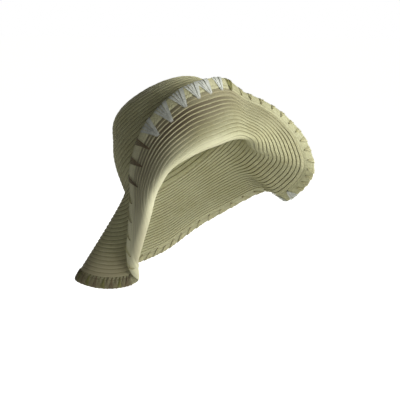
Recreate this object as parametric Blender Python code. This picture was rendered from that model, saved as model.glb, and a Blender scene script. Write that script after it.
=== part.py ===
"""A floppy sun hat of spiral-sewn straw braid, in the form it keeps when it is worn.

The frame: metres, +Z up, the wearer looks towards -Y and the wearer's right hand
is at -X. The origin is the middle of the head line, where the crown meets the
brim and the hat sits on a head. The hat is worn tipped back, so the head line
rises towards the front.

Three thin walls make the hat:
  crown       the domed cap above the head line
  brim        the wide sewn brim, turned up in front, folded along a diagonal on
              the wearer's right, hanging as a flap behind and scooping forward
              on the wearer's left
  edge_band   the wide flat plait that is sewn round the brim as its edge
"""

from math import radians

import bmesh
import bpy
import numpy as np

# Driving dimensions, in metres and degrees.
HEAD_LENGTH = 0.200
HEAD_WIDTH = 0.160
HEAD_TILT = 42.0
CROWN_DEPTH = 0.100
BRIM_WIDTH = 0.124
BAND_WIDTH = 0.016
STRAW_WALL = 0.0024
BAND_WALL = 0.0028
SEAM_GAP = 0.0003

# How finely the curved walls are cut into faces.
COLUMNS = 80
CROWN_ROWS = 11
BRIM_ROWS = 20
BAND_ROWS = 3
STEPS_PER_ROW = 4
RIM_ANGLE = 50.0

# The crown as tilted oval rings from its top to the head line.
# "down" is the share of the way down; "rise" and "back" place the ring's centre,
# as shares of CROWN_DEPTH; "size" is a share of the head line; "tilt" is a share
# of HEAD_TILT.
CROWN_RINGS = [
    dict(down=0.00, rise=0.785, back=0.570, size=0.00, tilt=0.77),
    dict(down=0.20, rise=0.760, back=0.560, size=0.41, tilt=0.77),
    dict(down=0.40, rise=0.665, back=0.490, size=0.68, tilt=0.81),
    dict(down=0.60, rise=0.480, back=0.355, size=0.85, tilt=0.86),
    dict(down=0.80, rise=0.255, back=0.190, size=0.94, tilt=0.93),
    dict(down=1.00, rise=0.000, back=0.000, size=1.00, tilt=1.00),
]

# Soft dents in the crown. "around" is in degrees from the front towards the
# wearer's right, "down" is the share of the way down, "wide" is the half width in
# degrees, "tall" is the half height as a share, "depth" is a share of CROWN_DEPTH.
CROWN_DENTS = [
    dict(around=128, down=0.56, wide=42, tall=0.13, depth=0.045),
    dict(around=215, down=0.40, wide=48, tall=0.16, depth=0.035),
]

# Inside this radius, a share of CROWN_DEPTH, the dents fade out towards the top.
UNDENTED_TOP = 0.2

# The brim, section by section round the head. "around" is in degrees from the
# front towards the wearer's right. The section leaves the head line in one
# direction and turns into another at the fold: "fold" and "roll" are the place
# and the length of that turn, as shares of the width from the head line to the
# edge. A direction is out from the head, up, and along towards the wearer's right.
BRIM_SECTIONS = [
    dict(around=0, fold=0.31, roll=0.30, first=(0.20, -0.95, 0.00), then=(-0.40, 0.50, -0.52)),
    dict(around=10, fold=0.30, roll=0.30, first=(0.15, -0.95, 0.00), then=(-0.50, 0.72, -0.25)),
    dict(around=22, fold=0.31, roll=0.30, first=(0.15, -0.95, 0.05), then=(-0.48, 0.80, -0.02)),
    dict(around=36, fold=0.33, roll=0.28, first=(0.30, -0.90, 0.18), then=(-0.50, 0.74, 0.13)),
    dict(around=50, fold=0.40, roll=0.26, first=(0.48, -0.80, 0.25), then=(-0.56, 0.54, 0.28)),
    dict(around=64, fold=0.51, roll=0.24, first=(0.45, -0.85, 0.12), then=(-0.52, 0.48, 0.44)),
    dict(around=78, fold=0.66, roll=0.20, first=(0.22, -0.97, 0.00), then=(-0.32, 0.60, 0.50)),
    dict(around=92, fold=0.80, roll=0.16, first=(0.05, -1.00, 0.00), then=(0.04, 0.75, 0.42)),
    dict(around=106, fold=0.92, roll=0.12, first=(-0.05, -1.00, 0.05), then=(0.42, 0.55, 0.50)),
    dict(around=120, fold=1.06, roll=0.12, first=(-0.06, -1.00, 0.05), then=(0.30, -0.80, 0.20)),
    dict(around=143, fold=1.15, roll=0.16, first=(0.50, -0.86, 0.00), then=(0.50, -0.86, 0.00)),
    dict(around=180, fold=1.15, roll=0.16, first=(0.50, -0.86, 0.00), then=(0.50, -0.86, 0.00)),
    dict(around=220, fold=1.15, roll=0.16, first=(0.50, -0.86, 0.00), then=(0.50, -0.86, 0.00)),
    dict(around=245, fold=1.00, roll=0.30, first=(0.65, -0.70, 0.00), then=(0.75, -0.65, 0.05)),
    dict(around=270, fold=0.60, roll=0.40, first=(0.80, -0.70, 0.04), then=(0.92, -0.42, 0.18)),
    dict(around=285, fold=0.38, roll=0.35, first=(0.65, -0.80, 0.03), then=(0.80, -0.77, 0.38)),
    dict(around=297, fold=0.34, roll=0.32, first=(0.58, -0.83, 0.00), then=(0.92, -0.66, 0.38)),
    dict(around=310, fold=0.34, roll=0.32, first=(0.46, -0.88, 0.00), then=(0.98, -0.40, 0.14)),
    dict(around=325, fold=0.37, roll=0.32, first=(0.28, -0.95, 0.00), then=(0.74, 0.03, -0.40)),
    dict(around=340, fold=0.35, roll=0.32, first=(0.22, -0.95, 0.00), then=(0.24, 0.26, -0.66)),
]

STRAW_COLOUR = (0.60, 0.52, 0.33)
BRAID_COLOUR = (0.56, 0.47, 0.30)
BAND_COLOUR = (0.48, 0.38, 0.24)
STRAW_ROUGHNESS = 0.75


def clear_scene():
    for item in list(bpy.data.objects):
        bpy.data.objects.remove(item)


def straw_material(name, colour):
    material = bpy.data.materials.new(name)
    material.use_nodes = True
    shader = material.node_tree.nodes["Principled BSDF"]
    shader.inputs["Base Color"].default_value = (*colour, 1.0)
    shader.inputs["Roughness"].default_value = STRAW_ROUGHNESS
    shader.inputs["Metallic"].default_value = 0.0
    return material


def column(table, key):
    return np.array([row[key] for row in table], dtype=float)


def smooth_curve(places, stations, values, slopes):
    """A curve through the values that has the given slope at each station."""
    last = len(stations) - 2
    index = np.clip(np.searchsorted(stations, places, side="right") - 1, 0, last)
    span = stations[index + 1] - stations[index]
    t = (places - stations[index]) / span
    start = (2 * t**3 - 3 * t**2 + 1) * values[index]
    start += (t**3 - 2 * t**2 + t) * span * slopes[index]
    end = (3 * t**2 - 2 * t**3) * values[index + 1]
    end += (t**3 - t**2) * span * slopes[index + 1]
    return start + end


def read_down(places, table, key):
    """A table's column, read smoothly down the crown."""
    stations = column(table, "down")
    values = column(table, key)
    return smooth_curve(places, stations, values, np.gradient(values, stations))


def read_around(angles, table, values):
    """A table's column, read smoothly round the head and closed on itself."""
    stations = column(table, "around")
    stations = np.concatenate([stations[-2:] - 360, stations, stations[:2] + 360])
    values = np.concatenate([values[-2:], values, values[:2]])
    slopes = np.zeros_like(values)
    slopes[1:-1] = (values[2:] - values[:-2]) / (stations[2:] - stations[:-2])
    return smooth_curve(np.mod(angles, 360), stations, values, slopes)


def unit(vectors):
    return vectors / np.linalg.norm(vectors, axis=-1, keepdims=True)


def smooth_step(x):
    x = np.clip(x, 0, 1)
    return x * x * (3 - 2 * x)


def column_angles():
    return np.arange(COLUMNS) * 360.0 / COLUMNS


def compass(angles):
    """Outward, upward and along-the-edge directions at each angle round the head."""
    turn = np.radians(angles)
    flat = np.zeros_like(turn)
    out = np.stack([-np.sin(turn), -np.cos(turn), flat], axis=-1)
    up = np.stack([flat, flat, flat + 1], axis=-1)
    along = np.stack([-np.cos(turn), np.sin(turn), flat], axis=-1)
    return out, up, along


def dent_depth(angles, down):
    """How far the crown is pressed in at each angle, at one share of the way down."""
    depth = np.zeros_like(angles)
    for dent in CROWN_DENTS:
        sideways = (np.mod(angles - dent["around"] + 180, 360) - 180) / dent["wide"]
        upright = (down - dent["down"]) / dent["tall"]
        depth += dent["depth"] * CROWN_DEPTH * np.exp(-(sideways**2) - upright**2)
    return depth


def crown_ring(angles, down):
    """Points of the crown's wall, at one share of the way down from its top."""
    rise, back, size, tilt = (
        float(read_down(np.array([down]), CROWN_RINGS, key)[0])
        for key in ("rise", "back", "size", "tilt")
    )
    slope = radians(HEAD_TILT * tilt)
    turn = np.radians(angles)
    centre = CROWN_DEPTH * np.array([0.0, back, rise])
    forward = np.array([0.0, -np.cos(slope), np.sin(slope)])
    rightward = np.array([-1.0, 0.0, 0.0])
    reach = size * HEAD_LENGTH / 2 * np.cos(turn)
    spread = size * HEAD_WIDTH / 2 * np.sin(turn)
    arms = reach[:, None] * forward + spread[:, None] * rightward
    radius = np.maximum(np.linalg.norm(arms, axis=1), UNDENTED_TOP * CROWN_DEPTH)
    return centre + arms * (1 - dent_depth(angles, down) / radius)[:, None]


def crown_points():
    """Rings from the crown's top to the head line, without the top's single point."""
    shares = np.arange(1, CROWN_ROWS + 1) / CROWN_ROWS
    return np.stack([crown_ring(column_angles(), down) for down in shares])


def section_directions(angles, key):
    out, up, along = compass(angles)
    parts = [
        read_around(angles, BRIM_SECTIONS, np.array([row[key][axis] for row in BRIM_SECTIONS]))
        for axis in range(3)
    ]
    return unit(parts[0][:, None] * out + parts[1][:, None] * up + parts[2][:, None] * along)


def brim_start(angles, first):
    """Where the brim begins: clear of the crown's rim, however sharply it leaves it."""
    rim = crown_ring(angles, 1.0)
    wall = unit(rim - crown_ring(angles, 1.0 - 1.0 / CROWN_ROWS))
    across = np.linalg.norm(np.cross(wall, first), axis=1)
    return rim + first * (STRAW_WALL / 2 * across + SEAM_GAP)[:, None]


def brim_sheet():
    """Closely spaced rows of the brim's middle surface, from the head line to its edge."""
    angles = column_angles()
    out = compass(angles)[0]
    first = section_directions(angles, "first")
    then = section_directions(angles, "then")
    fold = read_around(angles, BRIM_SECTIONS, column(BRIM_SECTIONS, "fold"))
    roll = read_around(angles, BRIM_SECTIONS, column(BRIM_SECTIONS, "roll"))
    turnabout = (1 - np.sum(first * then, axis=1)) / 2
    steps = (BRIM_ROWS + BAND_ROWS) * STEPS_PER_ROW
    lengths = step_lengths()
    rows = [brim_start(angles, first)]
    travelled = 0.0
    for step in range(steps):
        share = (travelled + lengths[step] / 2) / (BRIM_WIDTH + BAND_WIDTH)
        turn = smooth_step((share - fold) / roll + 0.5)
        bulge = 4 * turn * (1 - turn) * turnabout
        heading = first * (1 - turn)[:, None] + then * turn[:, None] + out * bulge[:, None]
        rows.append(rows[-1] + unit(heading) * lengths[step])
        travelled += lengths[step]
    return np.stack(rows)


def step_lengths():
    brim_step = BRIM_WIDTH / (BRIM_ROWS * STEPS_PER_ROW)
    band_step = BAND_WIDTH / (BAND_ROWS * STEPS_PER_ROW)
    return [brim_step] * (BRIM_ROWS * STEPS_PER_ROW) + [band_step] * (BAND_ROWS * STEPS_PER_ROW)


def sideways(rows):
    return np.roll(rows, -1, axis=1) - np.roll(rows, 1, axis=1)


def crosswise(rows):
    """Unit directions through the wall at each point of its middle surface."""
    return unit(np.cross(sideways(rows), np.gradient(rows, axis=0)))


def grid_faces(start, row_count):
    """Quads of one closed band of rows whose first point has the index start."""
    for row in range(row_count - 1):
        for here in range(COLUMNS):
            beside = (here + 1) % COLUMNS
            corner = start + row * COLUMNS
            yield corner + here, corner + COLUMNS + here, corner + COLUMNS + beside, corner + beside


def rim_faces(first, second):
    """Quads between two rings of points that face each other across the wall."""
    for here in range(COLUMNS):
        beside = (here + 1) % COLUMNS
        yield first + here, first + beside, second + beside, second + here


def wall_mesh(name, rows, through, thickness, top=None):
    """A closed thin wall round a middle surface; a top point closes its first row."""
    half = thickness / 2
    count = rows.shape[0] * COLUMNS
    points = np.concatenate([
        (rows + through * half).reshape(-1, 3),
        (rows - through * half).reshape(-1, 3),
    ])
    faces = [*grid_faces(0, len(rows)), *grid_faces(count, len(rows))]
    faces += rim_faces(count - COLUMNS, 2 * count - COLUMNS)
    if top is None:
        faces += rim_faces(0, count)
    else:
        point, direction = top
        points = np.concatenate([points, [point + direction * half, point - direction * half]])
        for tip, ring in ((2 * count, 0), (2 * count + 1, count)):
            faces += [(tip, ring + here, ring + (here + 1) % COLUMNS) for here in range(COLUMNS)]
    mesh = bpy.data.meshes.new(name)
    mesh.from_pydata([tuple(point) for point in points], [], faces)
    face_outwards(mesh)
    mesh.shade_smooth()
    mesh.set_sharp_from_angle(angle=radians(RIM_ANGLE))
    return mesh


def face_outwards(mesh):
    work = bmesh.new()
    work.from_mesh(mesh)
    bmesh.ops.recalc_face_normals(work, faces=work.faces)
    work.to_mesh(mesh)
    work.free()


def add_part(name, mesh, material):
    item = bpy.data.objects.new(name, mesh)
    bpy.context.scene.collection.objects.link(item)
    item.data.materials.append(material)
    return item


def make_crown():
    rows = crown_points()
    above = crown_ring(np.zeros(1), 0.0)[0]
    axis = unit(above - rows[0].mean(axis=0))
    through = crosswise(rows)
    through *= np.sign(np.sum(through[0] * axis, axis=1).mean())
    mesh = wall_mesh("crown", rows, through, STRAW_WALL, top=(above, axis))
    return add_part("crown", mesh, straw_material("Crown straw", STRAW_COLOUR))


def make_brim():
    sheet = brim_sheet()
    rows = slice(0, BRIM_ROWS * STEPS_PER_ROW + 1, STEPS_PER_ROW)
    mesh = wall_mesh("brim", sheet[rows], crosswise(sheet)[rows], STRAW_WALL)
    return add_part("brim", mesh, straw_material("Brim straw", BRAID_COLOUR))


def make_edge_band():
    """The band goes on where the brim ends, one seam gap further out."""
    sheet = brim_sheet()
    rows = slice(BRIM_ROWS * STEPS_PER_ROW, None, STEPS_PER_ROW)
    middle = sheet[rows].copy()
    through = crosswise(sheet)[rows]
    onward = unit(np.cross(through[0], sideways(sheet)[BRIM_ROWS * STEPS_PER_ROW]))
    middle[0] += onward * SEAM_GAP
    mesh = wall_mesh("edge_band", middle, through, BAND_WALL)
    return add_part("edge_band", mesh, straw_material("Edge straw", BAND_COLOUR))


clear_scene()
make_crown()
make_brim()
make_edge_band()
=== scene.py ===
# %% [markdown]
# # Dressing a floppy straw sun hat
# A hat like this is made from one endless tape of plaited straw, laid in a spiral
# and sewn to itself, row over row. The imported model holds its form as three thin
# walls: the crown, the brim and the band along the edge. In this lesson each wall
# gets its rows, its plait and its colours, and the edge gets its raffia stitches.
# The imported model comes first, because every piece takes its place from it.

from math import ceil, cos, pi, radians, sin

import bpy
import numpy as np
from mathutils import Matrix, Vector


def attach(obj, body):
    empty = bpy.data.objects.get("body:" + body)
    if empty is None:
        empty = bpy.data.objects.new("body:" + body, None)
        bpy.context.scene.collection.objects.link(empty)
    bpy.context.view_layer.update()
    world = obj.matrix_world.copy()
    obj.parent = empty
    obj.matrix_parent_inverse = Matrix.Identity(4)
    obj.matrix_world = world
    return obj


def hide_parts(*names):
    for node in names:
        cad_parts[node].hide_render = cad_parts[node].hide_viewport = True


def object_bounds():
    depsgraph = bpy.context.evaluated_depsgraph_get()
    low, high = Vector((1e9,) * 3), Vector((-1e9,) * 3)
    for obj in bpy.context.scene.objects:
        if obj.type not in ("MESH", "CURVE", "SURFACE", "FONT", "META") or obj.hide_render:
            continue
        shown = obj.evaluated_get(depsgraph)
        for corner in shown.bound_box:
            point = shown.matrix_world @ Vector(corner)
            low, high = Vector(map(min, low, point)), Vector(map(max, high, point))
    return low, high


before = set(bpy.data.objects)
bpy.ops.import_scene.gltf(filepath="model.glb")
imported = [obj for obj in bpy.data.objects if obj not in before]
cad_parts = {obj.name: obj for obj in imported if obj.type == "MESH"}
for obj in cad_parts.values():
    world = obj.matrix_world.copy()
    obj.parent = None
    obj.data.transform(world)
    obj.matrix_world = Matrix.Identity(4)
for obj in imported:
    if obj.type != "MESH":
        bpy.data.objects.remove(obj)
solid_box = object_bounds()
box_text = [tuple(round(x, 3) for x in corner) for corner in solid_box]
print("solids:", sorted(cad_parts), "box:", box_text)

# %% [markdown]
# ## The camera
# The picture looks at the hat from the wearer's front right, a little above the
# head line. Setting the camera first means that every later choice can be judged
# in the right frame. The middle of the head line is the origin, and in the
# picture it isn't in the middle, so the camera aims a little beside it.

# %% Set the camera
VIEW_AZIMUTH = -55.0
VIEW_ELEVATION = 11.0
VIEW_DISTANCE = 1.2
PICTURE_SIDE = 400
METRES_A_PIXEL = 0.00136
HEAD_LINE_PIXEL = (182.6, 154.6)
SENSOR_WIDTH = 36.0


def view_axes(azimuth, elevation):
    """The directions that run into the picture, to its right and up it."""
    turn, lift = radians(azimuth), radians(elevation)
    into = Vector((-sin(turn) * cos(lift), cos(turn) * cos(lift), -sin(lift)))
    right = Vector((cos(turn), sin(turn), 0.0))
    return into, right, right.cross(into)


into, right, upward = view_axes(VIEW_AZIMUTH, VIEW_ELEVATION)
aside = (PICTURE_SIDE / 2 - HEAD_LINE_PIXEL[0]) * METRES_A_PIXEL
below = (PICTURE_SIDE / 2 - HEAD_LINE_PIXEL[1]) * METRES_A_PIXEL
aim = right * aside - upward * below
facing = into.to_track_quat("-Z", "Y").to_euler()
bpy.ops.object.camera_add(location=aim - into * VIEW_DISTANCE, rotation=facing)
camera = bpy.context.object
camera.name = "picture_camera"
camera.data.sensor_width = SENSOR_WIDTH
camera.data.lens = SENSOR_WIDTH * VIEW_DISTANCE / (PICTURE_SIDE * METRES_A_PIXEL)
bpy.context.scene.camera = camera
print("camera at", tuple(round(x, 3) for x in camera.location), "lens", round(camera.data.lens, 1), "mm")

# %% [markdown]
# ## The form, once more
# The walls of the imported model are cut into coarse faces. Fine rows need a much
# finer surface, and it has to be the same surface. So the few sizes and the two
# tables that shape the hat are repeated here, with the formulas that read them.
# A table has one line for each section, and what lies between is a smooth curve.

# %% Sizes and tables of the hat
HEAD_LENGTH = 0.200
HEAD_WIDTH = 0.160
HEAD_TILT = 42.0
CROWN_DEPTH = 0.100
BRIM_WIDTH = 0.124
BAND_WIDTH = 0.016
STRAW_WALL = 0.0024
BAND_WALL = 0.0028
SEAM_GAP = 0.0003
RIM_SHARE = 1.0 / 11
UNDENTED_TOP = 0.2

CROWN_RINGS = [
    dict(down=0.00, rise=0.785, back=0.570, size=0.00, tilt=0.77),
    dict(down=0.20, rise=0.760, back=0.560, size=0.41, tilt=0.77),
    dict(down=0.40, rise=0.665, back=0.490, size=0.68, tilt=0.81),
    dict(down=0.60, rise=0.480, back=0.355, size=0.85, tilt=0.86),
    dict(down=0.80, rise=0.255, back=0.190, size=0.94, tilt=0.93),
    dict(down=1.00, rise=0.000, back=0.000, size=1.00, tilt=1.00),
]
CROWN_DENTS = [
    dict(around=128, down=0.56, wide=42, tall=0.13, depth=0.045),
    dict(around=215, down=0.40, wide=48, tall=0.16, depth=0.035),
]
BRIM_SECTIONS = [
    dict(around=0, fold=0.31, roll=0.30, first=(0.20, -0.95, 0.00), then=(-0.40, 0.50, -0.52)),
    dict(around=10, fold=0.30, roll=0.30, first=(0.15, -0.95, 0.00), then=(-0.50, 0.72, -0.25)),
    dict(around=22, fold=0.31, roll=0.30, first=(0.15, -0.95, 0.05), then=(-0.48, 0.80, -0.02)),
    dict(around=36, fold=0.33, roll=0.28, first=(0.30, -0.90, 0.18), then=(-0.50, 0.74, 0.13)),
    dict(around=50, fold=0.40, roll=0.26, first=(0.48, -0.80, 0.25), then=(-0.56, 0.54, 0.28)),
    dict(around=64, fold=0.51, roll=0.24, first=(0.45, -0.85, 0.12), then=(-0.52, 0.48, 0.44)),
    dict(around=78, fold=0.66, roll=0.20, first=(0.22, -0.97, 0.00), then=(-0.32, 0.60, 0.50)),
    dict(around=92, fold=0.80, roll=0.16, first=(0.05, -1.00, 0.00), then=(0.04, 0.75, 0.42)),
    dict(around=106, fold=0.92, roll=0.12, first=(-0.05, -1.00, 0.05), then=(0.42, 0.55, 0.50)),
    dict(around=120, fold=1.06, roll=0.12, first=(-0.06, -1.00, 0.05), then=(0.30, -0.80, 0.20)),
    dict(around=143, fold=1.15, roll=0.16, first=(0.50, -0.86, 0.00), then=(0.50, -0.86, 0.00)),
    dict(around=180, fold=1.15, roll=0.16, first=(0.50, -0.86, 0.00), then=(0.50, -0.86, 0.00)),
    dict(around=220, fold=1.15, roll=0.16, first=(0.50, -0.86, 0.00), then=(0.50, -0.86, 0.00)),
    dict(around=245, fold=1.00, roll=0.30, first=(0.65, -0.70, 0.00), then=(0.75, -0.65, 0.05)),
    dict(around=270, fold=0.60, roll=0.40, first=(0.80, -0.70, 0.04), then=(0.92, -0.42, 0.18)),
    dict(around=285, fold=0.38, roll=0.35, first=(0.65, -0.80, 0.03), then=(0.80, -0.77, 0.38)),
    dict(around=297, fold=0.34, roll=0.32, first=(0.58, -0.83, 0.00), then=(0.92, -0.66, 0.38)),
    dict(around=310, fold=0.34, roll=0.32, first=(0.46, -0.88, 0.00), then=(0.98, -0.40, 0.14)),
    dict(around=325, fold=0.37, roll=0.32, first=(0.28, -0.95, 0.00), then=(0.74, 0.03, -0.40)),
    dict(around=340, fold=0.35, roll=0.32, first=(0.22, -0.95, 0.00), then=(0.24, 0.26, -0.66)),
]
print("sections:", len(BRIM_SECTIONS), "rings:", len(CROWN_RINGS))

# %% Read the tables as smooth curves


def column(table, key):
    return np.array([line[key] for line in table], dtype=float)


def smooth_curve(places, stations, values, slopes):
    """A curve through the values that has the given slope at each station."""
    last = len(stations) - 2
    index = np.clip(np.searchsorted(stations, places, side="right") - 1, 0, last)
    span = stations[index + 1] - stations[index]
    t = (places - stations[index]) / span
    start = (2 * t**3 - 3 * t**2 + 1) * values[index]
    start += (t**3 - 2 * t**2 + t) * span * slopes[index]
    end = (3 * t**2 - 2 * t**3) * values[index + 1]
    end += (t**3 - t**2) * span * slopes[index + 1]
    return start + end


def read_down(places, key):
    stations = column(CROWN_RINGS, "down")
    values = column(CROWN_RINGS, key)
    return smooth_curve(places, stations, values, np.gradient(values, stations))


def read_around(angles, values):
    """A column of the brim's table, closed on itself round the head."""
    stations = column(BRIM_SECTIONS, "around")
    stations = np.concatenate([stations[-2:] - 360, stations, stations[:2] + 360])
    values = np.concatenate([values[-2:], values, values[:2]])
    slopes = np.zeros_like(values)
    slopes[1:-1] = (values[2:] - values[:-2]) / (stations[2:] - stations[:-2])
    return smooth_curve(np.mod(angles, 360), stations, values, slopes)


def unit(vectors):
    return vectors / np.linalg.norm(vectors, axis=-1, keepdims=True)


def smooth_step(x):
    x = np.clip(x, 0, 1)
    return x * x * (3 - 2 * x)


def compass(angles):
    """Outward, upward and along-the-edge directions at each angle round the head."""
    turn = np.radians(angles)
    flat = np.zeros_like(turn)
    out = np.stack([-np.sin(turn), -np.cos(turn), flat], axis=-1)
    up = np.stack([flat, flat, flat + 1], axis=-1)
    along = np.stack([-np.cos(turn), np.sin(turn), flat], axis=-1)
    return out, up, along


# %% [markdown]
# ## The crown and the brim as surfaces
# The crown is a pile of tilted ovals. The brim is walked, step by step, from the
# head line outwards: each section sets off in one direction and turns into
# another at its fold. Walked rows never stretch, which is how sewn straw behaves,
# so the folds come out as a real brim's do. A very fine lattice of both is kept,
# and every piece below reads its points from it.

# %% Walk the surfaces
FINE_COLUMNS = 1440
FINE_STEP = 0.0005
BEYOND_EDGE = 0.004
LUMP_HEIGHT = 0.0005
WAVE_COUNT = 6
WAVE_TURNS = (5, 23)
WAVE_SLANT = 60


def dent_depth(angles, down):
    depth = np.zeros(np.broadcast(angles, down).shape)
    for dent in CROWN_DENTS:
        sideways = (np.mod(angles - dent["around"] + 180, 360) - 180) / dent["wide"]
        upright = (down - dent["down"]) / dent["tall"]
        depth += dent["depth"] * CROWN_DEPTH * np.exp(-(sideways**2) - upright**2)
    return depth


def crown_at(angles, down):
    """Points of the crown's middle surface; angles and down have the same shape."""
    slope = np.radians(HEAD_TILT * read_down(down, "tilt"))
    turn = np.radians(angles)
    flat = np.zeros_like(slope)
    size = read_down(down, "size")
    centre = np.stack([flat, read_down(down, "back"), read_down(down, "rise")], axis=-1) * CROWN_DEPTH
    reach = size * HEAD_LENGTH / 2 * np.cos(turn)
    spread = size * HEAD_WIDTH / 2 * np.sin(turn)
    arms = np.stack([-spread, -reach * np.cos(slope), reach * np.sin(slope)], axis=-1)
    radius = np.maximum(np.linalg.norm(arms, axis=-1), UNDENTED_TOP * CROWN_DEPTH)
    return centre + arms * (1 - dent_depth(angles, down) / radius)[..., None]


def section_directions(angles, key):
    shares = np.array([line[key] for line in BRIM_SECTIONS])
    parts = [read_around(angles, shares[:, axis])[:, None] for axis in range(3)]
    return unit(sum(part * direction for part, direction in zip(parts, compass(angles))))


def walk_brim(angles):
    """Rows of the brim's middle surface, one fine step apart, to just past its edge."""
    out = compass(angles)[0]
    first = section_directions(angles, "first")
    then = section_directions(angles, "then")
    fold = read_around(angles, column(BRIM_SECTIONS, "fold"))
    roll = read_around(angles, column(BRIM_SECTIONS, "roll"))
    turnabout = (1 - np.sum(first * then, axis=1)) / 2
    rim = crown_at(angles, np.ones_like(angles))
    wall = unit(rim - crown_at(angles, np.full_like(angles, 1 - RIM_SHARE)))
    across = np.linalg.norm(np.cross(wall, first), axis=1)
    rows = [rim + first * (STRAW_WALL / 2 * across + SEAM_GAP)[:, None]]
    for step in range(ceil((BRIM_WIDTH + BAND_WIDTH + BEYOND_EDGE) / FINE_STEP)):
        share = (step + 0.5) * FINE_STEP / (BRIM_WIDTH + BAND_WIDTH)
        turn = smooth_step((share - fold) / roll + 0.5)
        bulge = 4 * turn * (1 - turn) * turnabout
        heading = first * (1 - turn)[:, None] + then * turn[:, None] + out * bulge[:, None]
        rows.append(rows[-1] + unit(heading) * FINE_STEP)
    return np.stack(rows)


def crosswise(rows):
    """Unit directions through a wall, towards its top side."""
    sideward = np.roll(rows, -1, axis=1) - np.roll(rows, 1, axis=1)
    return unit(np.cross(sideward, np.gradient(rows, axis=0)))


def soft_waves(u, v, seed):
    """Gentle lumps between -1 and 1, closed on themselves in u, which is in degrees."""
    dice = np.random.default_rng(seed)
    total = np.zeros(np.broadcast(u, v).shape)
    for _ in range(WAVE_COUNT):
        turns = dice.integers(*WAVE_TURNS)
        slant = dice.uniform(-WAVE_SLANT, WAVE_SLANT)
        total += np.sin(np.radians(u) * turns + v * slant + dice.uniform(0, 2 * pi))
    return total / WAVE_COUNT


def length_round(distance):
    """The length once round the brim at a distance from the head line, seam left open."""
    ring = sheet[int(distance / FINE_STEP)]
    return float(np.linalg.norm(np.diff(ring, axis=0), axis=1).sum())


fine_angles = np.arange(FINE_COLUMNS) * 360.0 / FINE_COLUMNS
sheet = walk_brim(fine_angles)
sheet_distance = np.arange(len(sheet)) * FINE_STEP
through = crosswise(sheet)
lumps = soft_waves(fine_angles[None, :], sheet_distance[:, None], seed=3)
swell = smooth_step(sheet_distance / BRIM_WIDTH)[:, None]
sheet = sheet + through * (lumps * swell * LUMP_HEIGHT)[..., None]
through = crosswise(sheet)
print("lattice:", sheet.shape[:2], "edge:", round(length_round(BRIM_WIDTH + BAND_WIDTH), 3), "m")

# %% [markdown]
# ## Reading the lattice
# Pieces ask for points by an angle round the head and a distance from the head
# line. The crown is asked by an angle and a share of the way down, and its rows
# have to be evenly wide, so the shares are first spaced by length.

# %% Points and directions anywhere on the hat
CROWN_STEPS = 300
SHORT_OF_LAST_ROW = 1.001


def blend_lattice(lattice, angles, distance):
    """Reads a lattice between its points and a little before its start; angles wrap."""
    x = np.mod(angles, 360) / 360 * FINE_COLUMNS
    y = np.minimum(distance / FINE_STEP, len(lattice) - SHORT_OF_LAST_ROW)
    x0, y0 = x.astype(int), np.maximum(y.astype(int), 0)
    fx, fy = (x - x0)[..., None], (y - y0)[..., None]
    x0, x1 = x0 % FINE_COLUMNS, (x0 + 1) % FINE_COLUMNS
    near = lattice[y0, x0] * (1 - fx) + lattice[y0, x1] * fx
    far = lattice[y0 + 1, x0] * (1 - fx) + lattice[y0 + 1, x1] * fx
    return near * (1 - fy) + far * fy


def on_brim(angles, distance, lift):
    """A point of the brim, lifted off its middle surface towards its top side."""
    angles, distance = np.broadcast_arrays(angles, distance)
    across = unit(blend_lattice(through, angles, distance))
    return blend_lattice(sheet, angles, distance) + across * np.asarray(lift)[..., None]


crown_shares = np.linspace(0, 1, CROWN_STEPS + 1)
crown_sheet = crown_at(*np.broadcast_arrays(fine_angles[None, :], crown_shares[:, None]))
crown_through = crosswise(crown_sheet)
crown_through[0] = unit(crown_through[1].mean(axis=0))
crown_gaps = np.linalg.norm(np.diff(crown_sheet, axis=0), axis=2).mean(axis=1)
crown_length = np.concatenate([[0], np.cumsum(crown_gaps)])


def on_crown(angles, distance, lift):
    """A point of the crown, by its distance from the top, lifted outwards."""
    angles, distance = np.broadcast_arrays(angles, distance)
    share = np.interp(distance, crown_length, crown_shares) * CROWN_STEPS * FINE_STEP
    across = unit(blend_lattice(crown_through, angles, share))
    return blend_lattice(crown_sheet, angles, share) + across * np.asarray(lift)[..., None]


print("crown, top to head line:", round(float(crown_length[-1]), 4), "m")

# %% [markdown]
# ## Walls from one grid
# A wall of the hat has a top side, an edge, an underside and an inner rim, and it
# closes on itself both ways. One grid primitive can be all of it: its columns go
# round the head, and its rows go out along the top side and come back along the
# underside. Placing the points by hand would take days, so a formula places them,
# and the merge in edit mode closes the two seams.

# %% A helper that wraps a grid into a closed wall
MERGE_DISTANCE = 0.00001
CREASE_ANGLE = 42.0


def only(item):
    bpy.ops.object.select_all(action="DESELECT")
    item.select_set(True)
    bpy.context.view_layer.objects.active = item


def write_mark(mesh, name, values):
    """One number on each point, for the material to read by its name."""
    mark = mesh.attributes.new(name, "FLOAT", "POINT")
    mark.data.foreach_set("value", values.astype(np.float32))


def face_outwards(item):
    """In edit mode every face is turned outwards; then only sharp edges stay sharp."""
    only(item)
    bpy.ops.object.mode_set(mode="EDIT")
    bpy.ops.mesh.select_all(action="SELECT")
    bpy.ops.mesh.normals_make_consistent(inside=False)
    bpy.ops.object.mode_set(mode="OBJECT")
    bpy.ops.object.shade_smooth_by_angle(angle=radians(CREASE_ANGLE))


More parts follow.
